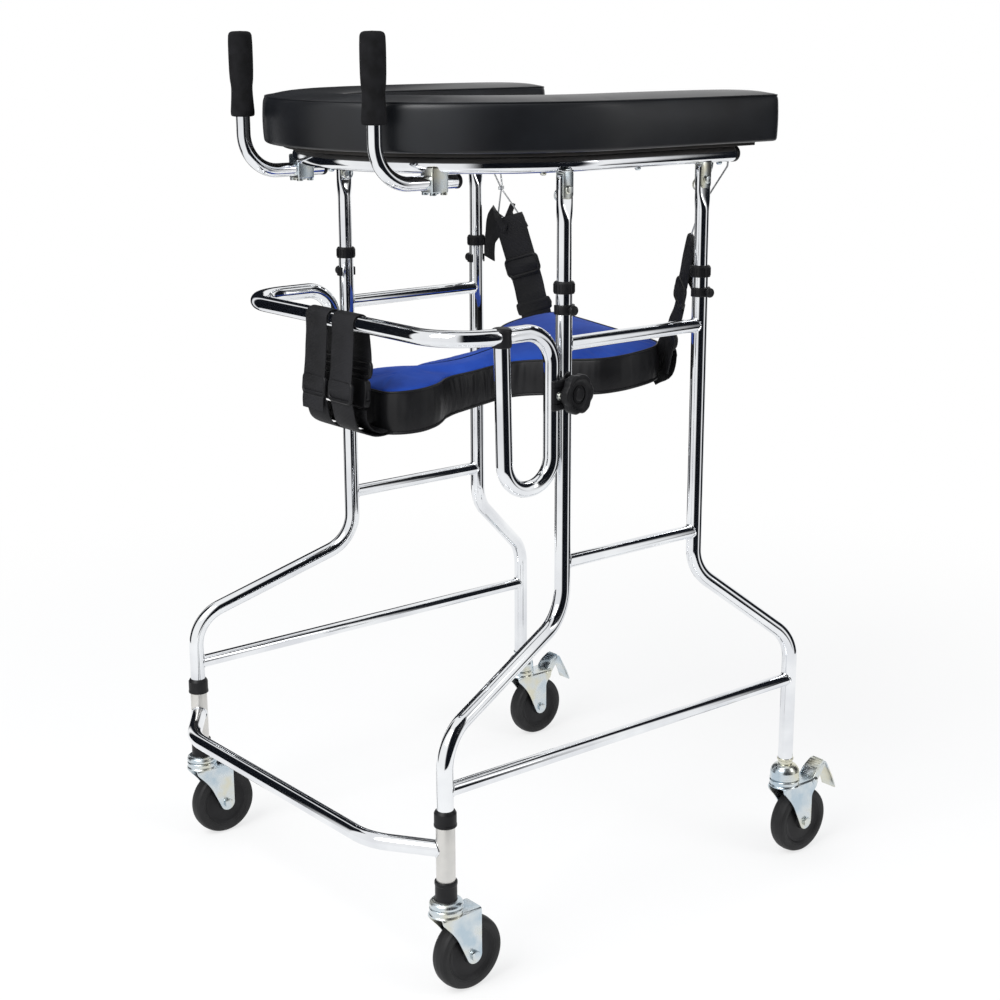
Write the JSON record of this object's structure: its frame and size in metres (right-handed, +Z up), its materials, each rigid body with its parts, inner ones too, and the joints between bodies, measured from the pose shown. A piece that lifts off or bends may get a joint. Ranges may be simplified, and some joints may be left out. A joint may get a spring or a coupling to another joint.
{
  "type": "forearm support standing and walking frame",
  "caption": "Wheeled standing and walking frame: bent steel side frames on swivel casters, U-shaped forearm pad, upright hand grips, height-adjustable guard bar and sling saddle.",
  "frame": {"origin": "on the floor under the middle of the frame's outline, in the left-right mirror plane", "axes": "+Z up, -Y towards the closed front with the hand grips, +Y towards the open end where the user enters, +X to the user's left"},
  "size_m": [0.665, 0.8171, 1.2165],
  "materials": {
    "chrome_tube": "polished",
    "zinc_plate": "satin",
    "black_plastic": "satin",
    "wheel_polymer": "satin",
    "grip_foam": "matte",
    "padded_vinyl": "satin",
    "plywood": "matte",
    "seat_cloth": "matte",
    "webbing": "matte"
  },
  "bodies": {
    "base": {"left_side_frame": "chrome_tube", "right_side_frame": "chrome_tube", "front_bar": "chrome_tube", "left_sleeve_collar": "black_plastic", "right_sleeve_collar": "black_plastic", "left_front_upright_bush": "black_plastic", "left_rear_upright_bush": "black_plastic", "right_front_upright_bush": "black_plastic", "right_rear_upright_bush": "black_plastic", "left_front_caster_stem": "zinc_plate", "left_rear_caster_stem": "zinc_plate", "right_front_caster_stem": "zinc_plate", "right_rear_caster_stem": "zinc_plate", "left_clamp_jaw": "black_plastic", "right_clamp_jaw": "black_plastic"},
    "forearm_rest": {"top_frame": "chrome_tube", "arm_pad": "padded_vinyl", "pad_board": "plywood", "left_front_inner_tube": "chrome_tube", "left_rear_inner_tube": "chrome_tube", "right_front_inner_tube": "chrome_tube", "right_rear_inner_tube": "chrome_tube", "left_front_clevis_pin": "zinc_plate", "left_rear_clevis_pin": "zinc_plate", "right_front_clevis_pin": "zinc_plate", "right_rear_clevis_pin": "zinc_plate", "left_handle_tube": "chrome_tube", "right_handle_tube": "chrome_tube", "left_hand_grip": "grip_foam", "right_hand_grip": "grip_foam", "left_handle_clamp": "zinc_plate", "right_handle_clamp": "zinc_plate", "left_rear_hanger": "webbing", "right_rear_hanger": "webbing"},
    "guard": {"guard_bar": "chrome_tube", "seat_cushion": "seat_cloth", "left_front_strap": "webbing", "right_front_strap": "webbing", "left_rear_strap": "webbing", "right_rear_strap": "webbing"},
    "left_front_clip": {"left_front_height_clip": "black_plastic"},
    "left_rear_clip": {"left_rear_height_clip": "black_plastic"},
    "right_front_clip": {"right_front_height_clip": "black_plastic"},
    "right_rear_clip": {"right_rear_height_clip": "black_plastic"},
    "left_knob": {"left_clamp_knob": "black_plastic"},
    "right_knob": {"right_clamp_knob": "black_plastic"},
    "left_front_fork": {"left_front_caster_fork": "zinc_plate", "left_front_caster_axle": "zinc_plate"},
    "left_rear_fork": {"left_rear_caster_fork": "zinc_plate", "left_rear_caster_axle": "zinc_plate"},
    "right_front_fork": {"right_front_caster_fork": "zinc_plate", "right_front_caster_axle": "zinc_plate"},
    "right_rear_fork": {"right_rear_caster_fork": "zinc_plate", "right_rear_caster_axle": "zinc_plate"},
    "left_front_wheel": {"left_front_caster_wheel": "wheel_polymer"},
    "left_rear_wheel": {"left_rear_caster_wheel": "wheel_polymer"},
    "right_front_wheel": {"right_front_caster_wheel": "wheel_polymer"},
    "right_rear_wheel": {"right_rear_caster_wheel": "wheel_polymer"},
    "left_pedal": {"left_brake_pedal": "zinc_plate"},
    "right_pedal": {"right_brake_pedal": "zinc_plate"}
  },
  "joints": [
    {"name": "rest_height", "type": "slide", "parent": "base", "child": "forearm_rest", "axis": [0, 0, 1], "range_m": [-0.0768, 0.1024]},
    {"name": "guard_height", "type": "slide", "parent": "base", "child": "guard", "axis": [0, 0, 1], "range_m": [-0.019, 0.035]},
    {"name": "left_front_clip_pull", "type": "slide", "parent": "base", "child": "left_front_clip", "axis": [1, 0, 0], "range_m": [0, 0.006], "stiffness_N_per_m": 400, "springref_m": -0.002},
    {"name": "left_rear_clip_pull", "type": "slide", "parent": "base", "child": "left_rear_clip", "axis": [1, 0, 0], "range_m": [0, 0.006], "stiffness_N_per_m": 400, "springref_m": -0.002},
    {"name": "right_front_clip_pull", "type": "slide", "parent": "base", "child": "right_front_clip", "axis": [-1, 0, 0], "range_m": [0, 0.006], "stiffness_N_per_m": 400, "springref_m": -0.002},
    {"name": "right_rear_clip_pull", "type": "slide", "parent": "base", "child": "right_rear_clip", "axis": [-1, 0, 0], "range_m": [0, 0.006], "stiffness_N_per_m": 400, "springref_m": -0.002},
    {"name": "left_knob_turn", "type": "hinge", "parent": "base", "child": "left_knob", "pos_m": [0.248, -0.0881, 0.758], "axis": [0.9903, 0.1392, 0], "range_deg": [0, 360]},
    {"name": "right_knob_turn", "type": "hinge", "parent": "base", "child": "right_knob", "pos_m": [-0.248, -0.0881, 0.758], "axis": [-0.9903, 0.1392, 0], "range_deg": [0, 360]},
    {"name": "left_front_swivel", "type": "hinge", "parent": "base", "child": "left_front_fork", "pos_m": [0.31, -0.3376, 0.127], "axis": [0, 0, 1], "continuous": true},
    {"name": "left_rear_swivel", "type": "hinge", "parent": "base", "child": "left_rear_fork", "pos_m": [0.31, 0.3044, 0.127], "axis": [0, 0, 1], "continuous": true},
    {"name": "right_front_swivel", "type": "hinge", "parent": "base", "child": "right_front_fork", "pos_m": [-0.31, -0.3376, 0.127], "axis": [0, 0, 1], "continuous": true},
    {"name": "right_rear_swivel", "type": "hinge", "parent": "base", "child": "right_rear_fork", "pos_m": [-0.31, 0.3044, 0.127], "axis": [0, 0, 1], "continuous": true},
    {"name": "left_front_roll", "type": "hinge", "parent": "left_front_fork", "child": "left_front_wheel", "pos_m": [0.31, -0.3046, 0.0508], "axis": [1, 0, 0], "continuous": true},
    {"name": "left_rear_roll", "type": "hinge", "parent": "left_rear_fork", "child": "left_rear_wheel", "pos_m": [0.31, 0.3374, 0.0508], "axis": [1, 0, 0], "continuous": true},
    {"name": "right_front_roll", "type": "hinge", "parent": "right_front_fork", "child": "right_front_wheel", "pos_m": [-0.31, -0.3046, 0.0508], "axis": [1, 0, 0], "continuous": true},
    {"name": "right_rear_roll", "type": "hinge", "parent": "right_rear_fork", "child": "right_rear_wheel", "pos_m": [-0.31, 0.3374, 0.0508], "axis": [1, 0, 0], "continuous": true},
    {"name": "left_brake", "type": "hinge", "parent": "left_rear_fork", "child": "left_pedal", "pos_m": [0.31, 0.3544, 0.111], "axis": [-1, 0, 0], "range_deg": [0, 8]},
    {"name": "right_brake", "type": "hinge", "parent": "right_rear_fork", "child": "right_pedal", "pos_m": [-0.31, 0.3544, 0.111], "axis": [-1, 0, 0], "range_deg": [0, 8]}
  ]
}
